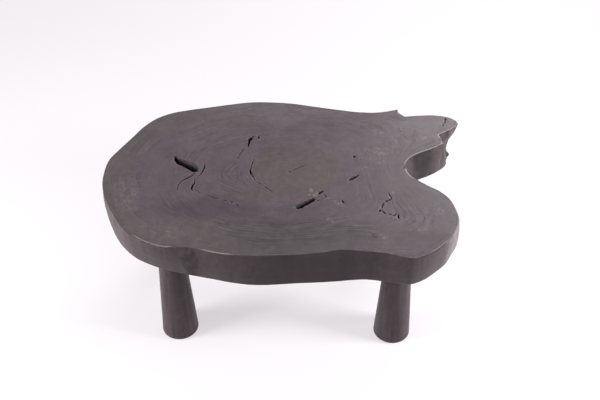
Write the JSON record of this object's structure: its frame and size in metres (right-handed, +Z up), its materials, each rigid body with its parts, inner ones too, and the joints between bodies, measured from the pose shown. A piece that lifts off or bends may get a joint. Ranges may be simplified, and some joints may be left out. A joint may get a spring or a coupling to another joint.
{
  "type": "coffee table",
  "caption": "Low coffee table: a thick blackened live-edge slab with drying cracks and a notch in one side, standing on turned, tapered legs that unscrew.",
  "frame": {"origin": "on the floor, under the middle of the table's overall length and depth", "axes": "+X to the right along the slab's length, -Y towards the viewer at the front, +Z up"},
  "size_m": [0.95, 0.635, 0.37],
  "materials": {
    "slab_wood": "black-stained, satin",
    "leg_wood": "black-stained, satin",
    "felt": "black felt",
    "plated_steel": "zinc-plated",
    "insert_brass": "turned"
  },
  "bodies": {
    "root": {"slab_top": "slab_wood", "leg_front_left": "leg_wood", "leg_front_right": "leg_wood", "leg_rear_left": "leg_wood", "leg_rear_right": "leg_wood", "foot_pad_front_left": "felt", "foot_pad_front_right": "felt", "foot_pad_rear_left": "felt", "foot_pad_rear_right": "felt", "hanger_bolt_front_left": "plated_steel", "hanger_bolt_front_right": "plated_steel", "hanger_bolt_rear_left": "plated_steel", "hanger_bolt_rear_right": "plated_steel", "insert_front_left": "insert_brass", "insert_front_right": "insert_brass", "insert_rear_left": "insert_brass", "insert_rear_right": "insert_brass"}
  },
  "joints": []
}
